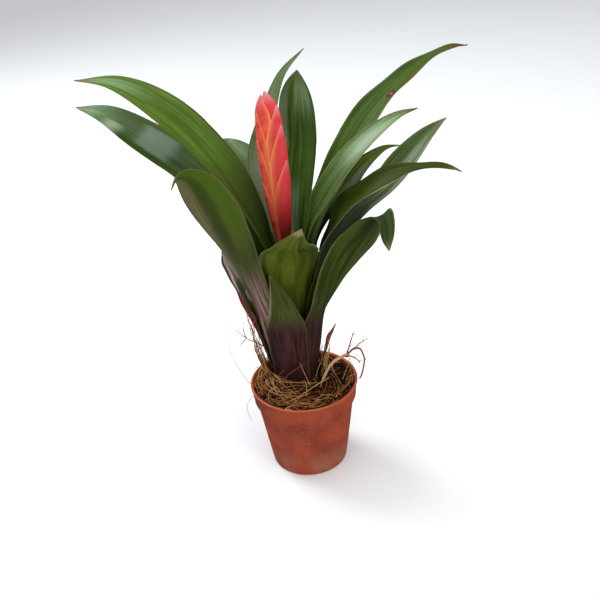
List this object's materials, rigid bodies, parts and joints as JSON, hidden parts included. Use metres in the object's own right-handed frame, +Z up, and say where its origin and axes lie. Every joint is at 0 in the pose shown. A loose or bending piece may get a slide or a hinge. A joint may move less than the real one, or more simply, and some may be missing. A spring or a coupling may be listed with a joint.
{
  "type": "flaming sword bromeliad in a nursery pot",
  "caption": "Potted flaming sword bromeliad: a rosette of arching strap leaves round a flat red flower spike, on coir-topped mix in a small tapered plastic pot.",
  "frame": {"origin": "centre of the underside of the pot", "axes": "+Z up, +X to the right and +Y to the back as the plant is seen from the front, with the broad torn shield leaf towards -Y"},
  "size_m": [0.2163, 0.1396, 0.2251],
  "materials": {
    "pot_plastic": "satin terracotta-coloured plastic",
    "potting_mix": "dark crumbly peat and bark",
    "coir": "dry golden-brown fibre",
    "root": "smooth pale to reddish root",
    "stem": "dull brown",
    "spike": "waxy coral red with yellow margins",
    "leaf": "glossy mid to dark green",
    "outer_leaf": "satin olive green with purple-brown sheath"
  },
  "bodies": {
    "root": {"pot": "pot_plastic", "potting_mix": "potting_mix", "coir_fibres": "coir", "roots": "root", "stem": "stem", "flower_spike": "spike", "leaf_back_twisted": "leaf", "leaf_back_upright": "leaf", "leaf_left_upper": "leaf", "leaf_right_tall": "leaf", "leaf_front_shield": "leaf", "leaf_right_striped": "leaf", "leaf_left_lower": "leaf", "leaf_right_narrow": "leaf", "leaf_right_wavy": "leaf", "leaf_left_back": "leaf", "leaf_front_left": "outer_leaf", "leaf_right_back": "outer_leaf", "leaf_front_short": "outer_leaf", "leaf_back_low_right": "outer_leaf", "leaf_front_right": "outer_leaf", "leaf_left_stub": "outer_leaf", "leaf_back_low_left": "outer_leaf"}
  },
  "joints": []
}
